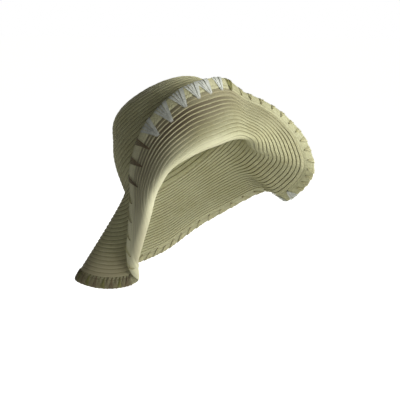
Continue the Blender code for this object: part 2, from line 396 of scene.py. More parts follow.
def wrapped_wall(name, columns, distances, lifts, surface, length_of_row, row_width, marks):
    """A closed wall: one profile of distances and lifts, carried round the head.

    Its UV map has metres along the row in U and rows in V, counted from the start
    of the profile, so that a plait of even size follows every row. Marks are
    numbers for the material, one for each point, named in a table.
    """
    count = len(distances)
    bpy.ops.object.select_all(action="DESELECT")
    bpy.ops.mesh.primitive_grid_add(x_subdivisions=columns, y_subdivisions=count - 1, size=1)
    item = bpy.context.object
    item.name = item.data.name = name
    mesh = item.data
    flat = np.empty(len(mesh.vertices) * 3, dtype=np.float32)
    mesh.vertices.foreach_get("co", flat)
    flat = flat.reshape(-1, 3)
    across = np.rint((flat[:, 0] + 0.5) * columns).astype(int)
    down = np.rint((flat[:, 1] + 0.5) * (count - 1)).astype(int)
    angles = across * 360.0 / columns
    lift = lifts(angles, down)
    points = surface(angles, distances[down], lift)
    mesh.vertices.foreach_set("co", points.astype(np.float32).ravel())
    for mark, value_at in marks.items():
        write_mark(mesh, mark, value_at(angles, distances[down], np.sign(lift)))

    corner = np.empty(len(mesh.loops), dtype=np.int32)
    mesh.loops.foreach_get("vertex_index", corner)
    quad_down = np.repeat(down[corner].reshape(-1, 4).min(axis=1), 4)
    middle = (distances[quad_down] + distances[np.minimum(quad_down + 1, count - 1)]) / 2
    row = np.floor(middle / row_width)
    along = across[corner] / columns * length_of_row(row)
    uv = np.stack([along, distances[down[corner]] / row_width], axis=1)
    mesh.uv_layers[0].data.foreach_set("uv", uv.astype(np.float32).ravel())
    mesh.update()

    only(item)
    bpy.ops.object.mode_set(mode="EDIT")
    bpy.ops.mesh.select_all(action="SELECT")
    bpy.ops.mesh.remove_doubles(threshold=MERGE_DISTANCE)
    bpy.ops.mesh.dissolve_degenerate(threshold=MERGE_DISTANCE)
    bpy.ops.object.mode_set(mode="OBJECT")
    face_outwards(item)
    print(name, "has", len(mesh.polygons), "faces")
    return item


# %% [markdown]
# ## Rows that lap
# Each turn of the tape is sewn a little under the one before it. Across a row the
# straw swells, and at its far side it ends in a small step down to the next. The
# step is what catches the light as a fine line. Five points across a row are
# enough: four on the swell and one right at the brink of the step.

# %% The lap profile
BRIM_ROWS = 21
ROW_WIDTH = BRIM_WIDTH / BRIM_ROWS
LAP_STATIONS = np.array([0.0, 0.22, 0.50, 0.78, 0.93])
LAP_HEIGHTS = np.array([0.0, 0.52, 0.86, 1.00, 0.92])
LAP_DEPTH = 0.0010
WALL_CORE = (STRAW_WALL - LAP_DEPTH) / 2


def lapped_rows(rows, stations, heights):
    """Stations across a run of rows, and the height at each, as shares of LAP_DEPTH."""
    places = (np.arange(rows)[:, None] + stations[None, :]).ravel()
    return np.append(places, rows), np.append(np.tile(heights, rows), heights[0])


def profile(rows, start=0.0):
    """Distances and lifts of a whole wall: out along the top side, back underneath."""
    mirrored = (1 - LAP_STATIONS) % 1
    order = np.argsort(mirrored)
    top_places, top_heights = lapped_rows(rows, LAP_STATIONS, LAP_HEIGHTS)
    under_places, under_heights = lapped_rows(rows, mirrored[order], LAP_HEIGHTS[order])
    distances = np.concatenate([top_places, under_places[::-1]]) * ROW_WIDTH + start
    core = np.repeat([WALL_CORE, -WALL_CORE], len(top_places))
    relief = np.concatenate([top_heights, -under_heights[::-1]]) * LAP_DEPTH
    return distances, core, relief


print("row width", round(ROW_WIDTH * 1000, 2), "mm")

# %% [markdown]
# ## Where the rows are brown, and where they vanish
# On the underside of the turned-up front, the rows near the edge are brown with a
# pale line at each lap; the brown is partly the straw's own and partly painted
# shade. Towards the fold they are pressed so flat by wear that they hardly show.
# Down the fold on the wearer's right the straw is lightened with painted light,
# and darkened again with painted shade on the fold's own line, which faces the
# light. The last two rows in front are a little tan, like the edge band beside
# them, and the low end of the flap is darkened to tan with painted shade.
# Four numbers on every point say how striped and worn the straw is there, how much
# painted light it gets, and how much tan and painted shade. They are worked out
# from the angle and the distance from the head line, the same values that placed
# the point, and tables say how each changes round the head.
# A side is 1 on the top side of a wall and -1 on its underside.

# %% Write the stripe values and the worn places
STRIPED = [
    dict(around=-80, start=0.92, full=1.10, strength=0.00),
    dict(around=-30, start=0.72, full=0.95, strength=0.15),
    dict(around=0, start=0.56, full=0.92, strength=0.35),
    dict(around=18, start=0.46, full=0.86, strength=0.75),
    dict(around=40, start=0.46, full=0.80, strength=0.92),
    dict(around=62, start=0.56, full=0.84, strength=0.62),
    dict(around=76, start=0.70, full=0.92, strength=0.35),
    dict(around=92, start=0.85, full=1.00, strength=0.20),
    dict(around=110, start=0.92, full=1.10, strength=0.00),
]
WORN = [
    dict(around=-80, clear=1.35, strength=0.00),
    dict(around=-68, clear=1.35, strength=-0.35),
    dict(around=-26, clear=1.35, strength=-0.35),
    dict(around=-14, clear=0.40, strength=0.00),
    dict(around=6, clear=0.50, strength=0.75),
    dict(around=25, clear=0.62, strength=0.93),
    dict(around=45, clear=0.64, strength=0.93),
    dict(around=62, clear=0.70, strength=0.90),
    dict(around=74, clear=0.88, strength=0.90),
    dict(around=84, clear=1.25, strength=0.95),
    dict(around=116, clear=1.35, strength=0.95),
    dict(around=130, clear=1.35, strength=0.00),
]
# painted light: lightens the underside down the fold on the wearer's right
PAINTED_LIGHT_RIGHT = dict(places=(34, 54, 70, 116, 128), values=(0.0, 0.75, 1.0, 1.0, 0.0))
# painted shade: darkens the fold's own line, which faces the light
FOLD_PAINTED_SHADE = dict(places=(70, 84, 118, 126), values=(0.0, 0.6, 0.6, 0.0))
TRIM_IN_FRONT = dict(places=(-4, 8, 64, 74), values=(0.0, 0.6, 0.2, 0.0))
# painted shade: darkens the flap's low end towards its hem
FLAP_HEM_PAINTED_SHADE = dict(places=(118, 128, 158, 172), values=(0.0, 1.0, 1.0, 0.0))
TABLE_START = -80
WORN_STEP = 0.24
FOLD_STEP = 0.12
FOLD_LEAD = 1.3
FOLD_SHADE_REACH = 0.09
TRIM_SHARE = 0.093


def from_start(angles):
    """The same angles, counted on from where the tables start."""
    return np.mod(angles - TABLE_START, 360) + TABLE_START


def read_lines(table, angles, *keys):
    places = column(table, "around")
    return [np.interp(from_start(angles), places, column(table, key)) for key in keys]


def read_places(table, angles):
    return np.interp(from_start(angles), table["places"], table["values"])


def beyond_fold(angles, distance):
    """How far past the fold a point is, as a share of the brim with its band."""
    fold = read_around(angles, column(BRIM_SECTIONS, "fold"))
    return distance / (BRIM_WIDTH + BAND_WIDTH) - fold


def past_fold(angles, distance):
    """From 0 before the fold to 1 after it, with a short step between."""
    return smooth_step(beyond_fold(angles, distance) / FOLD_STEP + FOLD_LEAD)


def tan_and_painted_shade_mark(angles, distance, side):
    """How much tan and painted shade: tan on two rows in front, painted shade on the fold's line and the
    flap's low end.
    """
    last_rows = (distance > BRIM_WIDTH * (1 - TRIM_SHARE)) * (side < 0)
    low_end = smooth_step(distance / BRIM_WIDTH * 2 - 1) * (side > 0)
    near_fold = 1 - smooth_step(beyond_fold(angles, distance) / FOLD_SHADE_REACH)
    fold_line = past_fold(angles, distance) * near_fold * (side < 0)
    tan_and_painted_shade = read_places(TRIM_IN_FRONT, angles) * last_rows
    return tan_and_painted_shade + read_places(FLAP_HEM_PAINTED_SHADE, angles) * low_end + read_places(FOLD_PAINTED_SHADE, angles) * fold_line


def stripe_mark(angles, distance, side):
    """How brown the rows are, partly as painted shade, on the underside only, where no other colour lies.
    """
    start, full, strength = read_lines(STRIPED, angles, "start", "full", "strength")
    step = smooth_step((distance / BRIM_WIDTH - start) / (full - start))
    return strength * step * (side < 0) * (1 - tan_and_painted_shade_mark(angles, distance, side))


def row_mark(angles, distance, side):
    """How clear the rows are; the underside is worn in front and deep in the scoop."""
    clear, strength = read_lines(WORN, angles, "clear", "strength")
    step = smooth_step((clear - distance / BRIM_WIDTH) / WORN_STEP)
    return 1 - strength * step * past_fold(angles, distance) * (side < 0)


# Painted light down the fold: how much the underside is lightened there.
def painted_light_mark(angles, distance, side):
    return read_places(PAINTED_LIGHT_RIGHT, angles) * past_fold(angles, distance) * (side < 0)


example = stripe_mark(np.array([45.0]), np.array([0.115]), np.array([-1]))
print("stripe near the edge:", round(float(example[0]), 2))

# %% [markdown]
# ## The brim
# The brim is the biggest piece and the one that shows on both sides. Its rows run
# round the head line from the crown to the edge band, 21 of them. Its first row
# is tucked into the crown's last, so that no light comes through the seam. A
# little unevenness in the depth of the laps keeps it from looking machined.

# %% Make the brim
BRIM_COLUMNS = 420
UNEVEN_LAPS = 0.25
LAP_WAVES = 40
TUCKED_IN = 0.0009


def brim_row_length(row):
    """The length once round the brim of each row's middle."""
    step = np.clip((row + 0.5) * ROW_WIDTH / FINE_STEP, 0, len(sheet) - 1).astype(int)
    ring = np.linalg.norm(sheet - np.roll(sheet, 1, axis=1), axis=2).sum(axis=1)
    return ring[step]


def uneven(core, relief, distances, seed, clear):
    """Lifts for a profile whose laps swell and sink gently along each row."""
    def lifts(angles, down):
        waves = soft_waves(angles, distances[down] * LAP_WAVES, seed)
        shown = clear(angles, distances[down], np.sign(core[down]))
        return core[down] + relief[down] * (1 + UNEVEN_LAPS * waves) * shown
    return lifts


distances, core, relief = profile(BRIM_ROWS)
distances = np.where(distances > 0, distances, -TUCKED_IN)
distances, core, relief = (np.append(values, values[0]) for values in (distances, core, relief))
brim = wrapped_wall(
    "brim_straw", BRIM_COLUMNS, distances, uneven(core, relief, distances, seed=5, clear=row_mark),
    on_brim, brim_row_length, ROW_WIDTH,
    marks={"stripe": stripe_mark, "clear": row_mark, "painted_light": painted_light_mark, "tan_and_painted_shade": tan_and_painted_shade_mark},
)

# %% [markdown]
# ## The crown
# The spiral starts at the crown's top and winds down to the head line. Its wall
# is wrapped in the same way, but its first and last rows shrink to one point each,
# one outside and one inside, which the merge turns into a clean pole.

# %% Make the crown
CROWN_COLUMNS = 300
# The crown's rows are clearer than the brim's, which also deepens the painted shade in its seams.
CROWN_CLEAR = 1.25
CROWN_ROWS = int(crown_length[-1] / ROW_WIDTH)
crown_start = float(crown_length[-1]) - CROWN_ROWS * ROW_WIDTH


def crown_mark(angles, distance, side):
    return np.full(len(angles), CROWN_CLEAR)


def crown_row_length(row):
    ring = np.linalg.norm(crown_sheet - np.roll(crown_sheet, 1, axis=1), axis=2).sum(axis=1)
    return np.interp((row + 0.5) * ROW_WIDTH, crown_length, ring)


distances, core, relief = profile(CROWN_ROWS, crown_start)
distances = np.concatenate([[0], distances, [0]])
core, relief = (np.concatenate([values[:1], values, values[-1:]]) for values in (core, relief))
crown = wrapped_wall(
    "crown_straw", CROWN_COLUMNS, distances, uneven(core, relief, distances, seed=7, clear=crown_mark),
    on_crown, crown_row_length, ROW_WIDTH, marks={"clear": crown_mark},
)

# %% [markdown]
# ## The edge band
# Along the edge runs a wider, flat plait, sewn on where the brim ends. It has no
# laps. Its three strands cross in a herringbone, which is deep enough to be
# modelled: two sets of slanting waves meet in the middle of the band. It is olive
# and tan on the flap and behind, paler in front, and worn pale and flat down the
# fold and on the wearer's left. Down the fold its underside also gets the brim's
# painted light. So a table says, round the head, how tan it is and
# how much of the herringbone is left.

# %% Make the edge band
BAND_COLUMNS = 1260
BAND_STEPS = 12
BAND_STRAND = 0.0056
BAND_RELIEF = 0.0005
BAND_SUNK = 0.0004
BAND_CORE = BAND_WALL / 2 - BAND_SUNK
BAND_FULLNESS = 0.52
BAND_THINNEST = 0.05
EDGE_LENGTH = length_round(BRIM_WIDTH + BAND_WIDTH / 2)


def band_row_length(row):
    return np.full(np.shape(row), EDGE_LENGTH)


BAND_RUNS = [
    dict(around=0, tan=0.45, relief=0.6),
    dict(around=8, tan=0.40, relief=1.0),
    dict(around=58, tan=0.10, relief=1.0),
    dict(around=68, tan=0.10, relief=0.5),
    dict(around=78, tan=0.05, relief=0.2),
    dict(around=116, tan=0.05, relief=0.2),
    dict(around=126, tan=0.85, relief=0.8),
    dict(around=160, tan=0.85, relief=0.8),
    dict(around=200, tan=0.55, relief=0.9),
    dict(around=260, tan=0.30, relief=0.7),
    dict(around=284, tan=0.10, relief=0.4),
    dict(around=350, tan=0.15, relief=0.4),
    dict(around=360, tan=0.45, relief=0.6),
]


def band_value(angles, key):
    return np.interp(np.mod(angles, 360), column(BAND_RUNS, "around"), column(BAND_RUNS, key))


def tan_mark(angles, distance, side):
    return band_value(angles, "tan")


def band_rounding(across):
    """How thick the band still is at a distance from its middle, as a share."""
    return np.sqrt(np.clip(1 - (across / (BAND_WIDTH * BAND_FULLNESS)) ** 4, BAND_THINNEST, 1))


def band_lifts(distances, sides):
    def lifts(angles, down):
        across = np.abs((distances[down] - BRIM_WIDTH) / BAND_WIDTH - 0.5) * BAND_WIDTH
        along = angles / 360 * EDGE_LENGTH
        strands = EDGE_LENGTH / round(EDGE_LENGTH / BAND_STRAND)
        wave = np.abs(np.sin((along + across * sides[down]) * pi / strands))
        height = BAND_CORE + BAND_RELIEF * wave * band_value(angles, "relief")
        return sides[down] * height * band_rounding(across)
    return lifts


out_steps = BRIM_WIDTH - TUCKED_IN + (BAND_WIDTH + TUCKED_IN) * np.linspace(0, 1, BAND_STEPS + 1)
distances = np.concatenate([out_steps, out_steps[::-1], out_steps[:1]])
sides = np.concatenate([np.ones(BAND_STEPS + 1), -np.ones(BAND_STEPS + 1), [1]])
band = wrapped_wall(
    "edge_plait", BAND_COLUMNS, distances, band_lifts(distances, sides),
    on_brim, band_row_length, BAND_WIDTH, marks={"tan": tan_mark, "painted_light": painted_light_mark},
)

# %% [markdown]
# ## One raffia stitch
# The edge is whipped with flat raffia. Several turns of one ribbon pass through
# the same hole, a little further in than the band, and fan out to the edge, so each
# stitch is a small triangle. A ribbon is modelled flat as a strip, from the hole
# over the top side, round the edge and back to the hole underneath. Its place is
# still written in hat terms: along the edge, in from the edge, and off the wall.

# %% Model the ribbons of one stitch
HOLE_DEPTH = 0.0185
WRAP_REACH = 0.0006
RIBBON_CLEAR = 0.0003
BRIM_SWELL = 0.0017
ON_BAND_SHARE = 0.45
RIBBON_WALL = 0.0003
RIBBON_CREASE = 0.00025
RIBBON_STEPS = 9
WRAP_STEPS = 3
HOLE_WIDTH = 0.0012
HOLE_LIFT = 0.0004
WIDENING = 0.8
RIBBONS = [
    dict(foot=-0.0092, width=0.0032, hole=-0.0008, over=0.0000),
    dict(foot=-0.0048, width=0.0030, hole=-0.0004, over=0.0004),
    dict(foot=-0.0004, width=0.0034, hole=0.0000, over=0.0001),
    dict(foot=0.0056, width=0.0058, hole=0.0006, over=0.0006),
]


def ribbon_path(ribbon):
    """Along, in and off for each cross line of one ribbon, with its width there."""
    share = np.linspace(0, 1, RIBBON_STEPS)
    along = ribbon["hole"] + (ribbon["foot"] - ribbon["hole"]) * share
    inward = HOLE_DEPTH * (1 - share)
    on_band = (BAND_CORE + BAND_RELIEF) * band_rounding(np.abs(inward - BAND_WIDTH / 2))
    wall = np.where(inward > BAND_WIDTH * ON_BAND_SHARE, BRIM_SWELL, on_band)
    off = wall + RIBBON_CLEAR + ribbon["over"]
    off[0] = HOLE_LIFT
    width = HOLE_WIDTH + (ribbon["width"] - HOLE_WIDTH) * share**WIDENING
    turn = np.linspace(0, pi, WRAP_STEPS + 2)[1:-1]
    foot, end_width = np.full((2, WRAP_STEPS), [[ribbon["foot"]], [ribbon["width"]]])
    outward = -(WRAP_REACH + ribbon["over"]) * np.sin(turn)
    wrap = np.stack([foot, outward, off[-1] * np.cos(turn), end_width], axis=1)
    over = np.stack([along, inward, off, width], axis=1)
    back = over[::-1] * [1, 1, -1, 1]
    return np.concatenate([over, wrap, back])


def add_ribbon(name, ribbon):
    """A strip three points wide, hollow along its middle as folded raffia is."""
    path = ribbon_path(ribbon)
    bpy.ops.object.select_all(action="DESELECT")
    bpy.ops.mesh.primitive_grid_add(x_subdivisions=2, y_subdivisions=len(path) - 1, size=1)
    item = bpy.context.object
    item.name = name
    flat = np.array([point.co for point in item.data.vertices])
    side = np.rint(flat[:, 0] * 2)
    step = np.rint((flat[:, 1] + 0.5) * (len(path) - 1)).astype(int)
    place = path[step].copy()
    place[:, 0] += side * place[:, 3] / 2
    crease = (1 - np.abs(side)) * RIBBON_CREASE
    place[:, 2] -= np.sign(place[:, 2]) * crease
    item.data.vertices.foreach_set("co", place[:, :3].astype(np.float32).ravel())
    solid = item.modifiers.new("Ribbon wall", "SOLIDIFY")
    solid.thickness = RIBBON_WALL
    solid.offset = 0
    only(item)
    bpy.ops.object.modifier_apply(modifier=solid.name)
    return item


def joined(items, name):
    """The items as one object, named with its mesh."""
    only(items[0])
    for item in items[1:]:
        item.select_set(True)
    if len(items) > 1:
        bpy.ops.object.join()
    items[0].name = items[0].data.name = name
    return items[0]


ribbons = [add_ribbon(f"ribbon_{number}", ribbon) for number, ribbon in enumerate(RIBBONS)]
stitch = joined(ribbons, "stitch")
stitch_points = np.array([point.co for point in stitch.data.vertices])
near_hole = np.clip(stitch_points[:, 1] / HOLE_DEPTH, 0, 1)
write_mark(stitch.data, "near_hole", near_hole)
print("one stitch has", len(stitch.data.polygons), "faces")

# %% [markdown]
# ## Stitches all round the edge
# The stitch changes in runs, as it does when the maker takes up the next bundle:
# almost white and wide in front on the wearer's right, where it leans forward and
# reaches further in towards the fold, then brown and natural down the fold. Behind
# it, along the flap's hem, it is narrow and close, in mixed colours. A run gives
# its start, end and step in degrees round the head. Each copy gets its own mesh, is
# laid on the edge where it belongs, and is turned and spread a little by chance.

# %% Lay the stitches
RUNS = [
    dict(start=0, end=5, step=5, colours=["natural"], width=0.5, reach=0.7),
    dict(start=5, end=12, step=7, colours=["yellow"], width=1.0, reach=1.0),
    dict(start=12, end=54, step=7, colours=["pale"], width=1.12, reach=1.0, last_reach=1.9, lean=0.22),
    dict(start=54, end=75, step=7, colours=["brown"], width=0.42, reach=1.9, lean=0.34),
    dict(start=75, end=110, step=7, colours=["natural"], width=0.4, reach=0.6),
    dict(start=122, end=156, step=1.3, colours=["tan", "brown", "tan", "yellow"], width=0.34, reach=0.9),
    dict(start=156, end=162, step=1.5, colours=["pale"], width=0.40, reach=0.9),
    dict(start=162, end=178, step=5.3, colours=["natural"], width=0.8, reach=0.9),
    dict(start=178, end=203, step=6.2, colours=["pale"], width=1.0, reach=1.1),
    dict(start=203, end=281, step=5.2, colours=["natural"], width=0.7, reach=0.8),
    dict(start=281, end=295, step=7, colours=["pale"], width=0.9, reach=0.8),
    dict(start=295, end=360, step=5, colours=["natural"], width=0.4, reach=0.6),
]
LEAN_CHANCE = 0.10
WIDTH_CHANCE = 0.15
REACH_CHANCE = 0.08
dice = np.random.default_rng(11)
edge_ring = sheet[int((BRIM_WIDTH + BAND_WIDTH) / FINE_STEP)]
edge_steps = np.linalg.norm(np.roll(edge_ring, -1, axis=0) - edge_ring, axis=1)
metres_a_degree = edge_steps * FINE_COLUMNS / 360


def lay_stitch(bearing, width, reach, forward):
    """A copy of the stitch on the edge; its size is a share of the model's."""
    only(stitch)
    bpy.ops.object.duplicate(linked=False)
    copy = bpy.context.object
    along, inward, off = stitch_points.T
    lean = dice.normal(0, LEAN_CHANCE)
    spread = dice.uniform(1 - WIDTH_CHANCE, 1 + WIDTH_CHANCE) * width
    longer = dice.uniform(1 - REACH_CHANCE, 1 + REACH_CHANCE)
    along = along * spread + lean * width * (HOLE_DEPTH - inward) + forward * reach * np.maximum(inward, 0)
    depth = inward * longer * np.where(inward > 0, reach, 1)
    local = metres_a_degree[int(bearing / 360 * FINE_COLUMNS) % FINE_COLUMNS]
    points = on_brim(bearing - along / local, BRIM_WIDTH + BAND_WIDTH - depth, off)
    copy.data.vertices.foreach_set("co", points.astype(np.float32).ravel())
    copy.data.update()
    return copy


stitches = {}
for run in RUNS:
    span = run["end"] - run["start"]
    further = run.get("last_reach", run["reach"]) - run["reach"]
    for number in range(round(span / run["step"])):
        way = (number + 0.5) * run["step"]
        colour = run["colours"][number % len(run["colours"])]
        reach = run["reach"] + further * way / span
        copy = lay_stitch(run["start"] + way, run["width"], reach, run.get("lean", 0))
        stitches.setdefault(colour, []).append(copy)
bpy.data.objects.remove(stitch)
raffia = {}
for colour, copies in stitches.items():
    raffia[colour] = joined(copies, f"raffia_{colour}")
    face_outwards(raffia[colour])
    print("raffia", colour, len(copies), "stitches")

# %% [markdown]
# ## Shared finishes as node groups
# Straw and raffia share three effects: the plait that runs along each row, the
# fine fibres in every strip, and the uneven tan that sun and hands leave. Each is
# built once as a shader node group with named sockets, and every material sets
# its own values. A few small helpers keep the wiring short.

# %% Helpers for wiring nodes


def wire(tree, node, inputs):
    """Sets a node's inputs; each is a value, or a socket to link from."""
    for key, value in inputs.items():
        if isinstance(value, bpy.types.NodeSocket):
            tree.links.new(value, node.inputs[key])
        else:
            node.inputs[key].default_value = value


def add_node(tree, kind, inputs=None, **settings):
    """A node with its settings, wired."""
    made = tree.nodes.new(kind)
    for key, value in settings.items():
        setattr(made, key, value)
    wire(tree, made, inputs or {})
    return made


def maths(tree, operation, *values, clamp=False):
    settings = dict(operation=operation, use_clamp=clamp)
    return add_node(tree, "ShaderNodeMath", dict(enumerate(values)), **settings).outputs[0]


def times(tree, first, *others):
    for other in others:
        first = maths(tree, "MULTIPLY", first, other)
    return first


def plus(tree, first, second, clamp=False):
    return maths(tree, "ADD", first, second, clamp=clamp)


def less(tree, first, second):
    return maths(tree, "SUBTRACT", first, second)


def read_mark(tree, name):
    """The number that a point carries under this name."""
    return add_node(tree, "ShaderNodeAttribute", attribute_name=name).outputs["Fac"]


def ramp_between(tree, value, low, high):
    """0 below low and 1 above high, with a soft step between; high may lie below low."""
    made = add_node(
        tree, "ShaderNodeMapRange",
        {"Value": value, "From Min": low, "From Max": high}, interpolation_type="SMOOTHSTEP",
    )
    return made.outputs["Result"]


def mixed(tree, share, first, second):
    """A mix of two colours; sockets 6, 7 and 2 are the ones for colour."""
    made = add_node(tree, "ShaderNodeMix", data_type="RGBA")
    wire(tree, made, {0: share, 6: first, 7: second})
    return made.outputs[2]


def noise(tree, vector, scale, detail, **others):
    inputs = {"Vector": vector, "Scale": scale, "Detail": detail, **others}
    return add_node(tree, "ShaderNodeTexNoise", inputs).outputs["Fac"]


def scaled(tree, vector, factors):
    """A vector times a factor for each of X, Y and Z."""
    scale = add_node(tree, "ShaderNodeCombineXYZ", factors).outputs[0]
    return add_node(tree, "ShaderNodeVectorMath", {0: vector, 1: scale}, operation="MULTIPLY").outputs[0]


def start_group(name, inputs, outputs):
    """A new shader node group with its sockets; gives the tree and its two ends."""
    tree = bpy.data.node_groups.new(name, "ShaderNodeTree")
    for socket, (kind, value) in inputs.items():
        made = tree.interface.new_socket(socket, in_out="INPUT", socket_type=kind)
        if value is not None:
            made.default_value = value
    for socket, kind in outputs.items():
        tree.interface.new_socket(socket, in_out="OUTPUT", socket_type=kind)
    return tree, tree.nodes.new("NodeGroupInput"), tree.nodes.new("NodeGroupOutput")


def close_group(tree, end, **results):
    for socket, value in results.items():
        tree.links.new(value, end.inputs[socket.replace("_", " ")])
    print("group", tree.name, "has", len(tree.nodes), "nodes")
    return tree


NUMBER, VECTOR = "NodeSocketFloat", "NodeSocketVector"

# %% [markdown]
# ## The plait along a row
# The tape is a flat plait: its strands slant one way on one half of the row and
# the other way on the other half. In UV terms, V minus its whole number says
# where a point lies across its row, and U runs along in metres. Adding the
# distance from the row's middle to U turns straight cross lines into chevrons.

# %% Group: plaited rows
PLAIT_STRAND = 0.0014
ROW_SHIFT = 0.37


def plait_group():
    tree, start, end = start_group(
        "Plaited rows",
        {"UV": (VECTOR, None), "Row width": (NUMBER, ROW_WIDTH), "Strand": (NUMBER, PLAIT_STRAND)},
        {"Height": NUMBER, "Seam": NUMBER, "Lap line": NUMBER, "Strand tint": NUMBER, "Gap": NUMBER},
    )
    uv = add_node(tree, "ShaderNodeSeparateXYZ", {"Vector": start.outputs["UV"]})
    along, rows = uv.outputs["X"], uv.outputs["Y"]
    across = maths(tree, "FRACT", rows)
    row = maths(tree, "FLOOR", rows)
    from_middle = maths(tree, "ABSOLUTE", less(tree, across, 0.5))
    slant = times(tree, from_middle, start.outputs["Row width"])
    count = maths(tree, "DIVIDE", plus(tree, along, slant), start.outputs["Strand"])
    shifted = plus(tree, count, times(tree, row, ROW_SHIFT))
    place = maths(tree, "FRACT", shifted)
    swell = times(tree, place, less(tree, 1.0, place), 4.0)
    strand = add_node(tree, "ShaderNodeCombineXYZ", {"X": maths(tree, "FLOOR", shifted), "Y": row})
    tint = add_node(tree, "ShaderNodeTexWhiteNoise", {"Vector": strand.outputs[0]}, noise_dimensions="3D")
    middle = ramp_between(tree, from_middle, 0.07, 0.0)
    gap = maths(tree, "MAXIMUM", ramp_between(tree, swell, 0.45, 0.05), times(tree, middle, 0.6))
    seam = ramp_between(tree, from_middle, 0.40, 0.49)
    lap_line = ramp_between(tree, from_middle, 0.37, 0.42)
    height = less(tree, maths(tree, "POWER", swell, 0.6), times(tree, middle, 0.5))
    return close_group(
        tree, end, Height=height, Seam=seam, Lap_line=lap_line, Strand_tint=tint.outputs["Value"], Gap=gap,
    )


plait = plait_group()

# %% [markdown]
# ## Fibres
# Paper straw and raffia are both made of long fibres. A noise that is stretched
# far along the strip gives the fine streaks, in colour and in relief.

# %% Group: fibres


def fibre_group():
    tree, start, end = start_group(
        "Fibres",
        {"UV": (VECTOR, None), "Streaks": (NUMBER, 900.0), "Stretch": (NUMBER, 0.06)},
        {"Height": NUMBER, "Tint": NUMBER},
    )
    lines = scaled(tree, start.outputs["UV"], {"X": start.outputs["Stretch"], "Y": 1.0, "Z": 1.0})
    fine = noise(tree, lines, start.outputs["Streaks"], 3.0, Roughness=0.6)
    return close_group(tree, end, Height=fine, Tint=ramp_between(tree, fine, 0.35, 0.65))


fibres = fibre_group()

# %% [markdown]
# ## Sun and handling
# Straw never keeps one colour. Broad, soft clouds of noise in the hat's own space
# bleach some places and tan others, and a finer one adds flecks.

# %% Group: sun and handling


def weather_group():
    tree, start, end = start_group(
        "Sun and handling",
        {"Place": (VECTOR, None), "Cloud scale": (NUMBER, 22.0), "Fleck scale": (NUMBER, 420.0)},
        {"Tan": NUMBER, "Flecks": NUMBER},
    )
    clouds = noise(tree, start.outputs["Place"], start.outputs["Cloud scale"], 4.0, Roughness=0.55)
    flecks = noise(tree, start.outputs["Place"], start.outputs["Fleck scale"], 1.0)
    tan = ramp_between(tree, clouds, 0.35, 0.68)
    return close_group(tree, end, Tan=tan, Flecks=ramp_between(tree, flecks, 0.62, 0.74))


weather = weather_group()

# %% [markdown]
# ## Straw for the crown and the brim
# The straw is cream, a little darker in the gaps of the plait and darkest in the
# seam where a row tucks under its neighbour, which is part dirt and part painted
# shade, deepest where the rows are clearest. Where the rows are worn flat, the
# straw is bleached, and down the fold it is lightened with painted light. Where the
# stripe value is high, the rows turn brown, partly as painted shade, and only
# the line at each lap stays pale. The tan value adds tan in front and painted shade
# on the fold's line and the flap's low end. All of the relief that is finer than a
# row comes from one bump.

# %% Material: sewn straw
CREAM = (0.640, 0.635, 0.375, 1.0)
HONEY = (0.500, 0.475, 0.240, 1.0)
SEAM_DIRT_AND_SHADE = (0.140, 0.110, 0.055, 1.0)
STRIPE_BROWN_AND_SHADE = (0.120, 0.085, 0.045, 1.0)
THREAD_PALE = (0.600, 0.560, 0.370, 1.0)
FLECK_BROWN = (0.330, 0.270, 0.130, 1.0)
PALE_WEAR_AND_PAINTED_LIGHT = (0.800, 0.780, 0.520, 1.0)
TAN_AND_PAINTED_SHADE = (0.450, 0.400, 0.240, 1.0)
STRAW_RELIEF = 0.00025
LEAST_PLAIT = 0.3


def start_material(name):
    material = bpy.data.materials.new(name)
    material.use_nodes = True
    tree = material.node_tree
    shader = tree.nodes["Principled BSDF"]
    uv = tree.nodes.new("ShaderNodeUVMap").outputs["UV"]
    place = tree.nodes.new("ShaderNodeTexCoord").outputs["Object"]
    return material, tree, shader, uv, place


def use_group(tree, group, **inputs):
    made = tree.nodes.new("ShaderNodeGroup")
    made.node_tree = group
    wire(tree, made, {key.replace("_", " "): value for key, value in inputs.items()})
    return made.outputs


def metric_uv(tree, uv, row_width):
    """The row-wise UV in metres both ways, for effects that ignore the rows."""
    return scaled(tree, uv, {"X": 1.0, "Y": row_width, "Z": 1.0})


def finish_material(tree, shader, colour, roughness, height, depth):
    """Wires the shader; the height becomes relief of the given depth in metres."""
    bump = add_node(tree, "ShaderNodeBump", {"Height": height, "Distance": depth, "Strength": 1.0})
    wire(tree, shader, {"Base Color": colour, "Roughness": roughness, "Normal": bump.outputs["Normal"]})


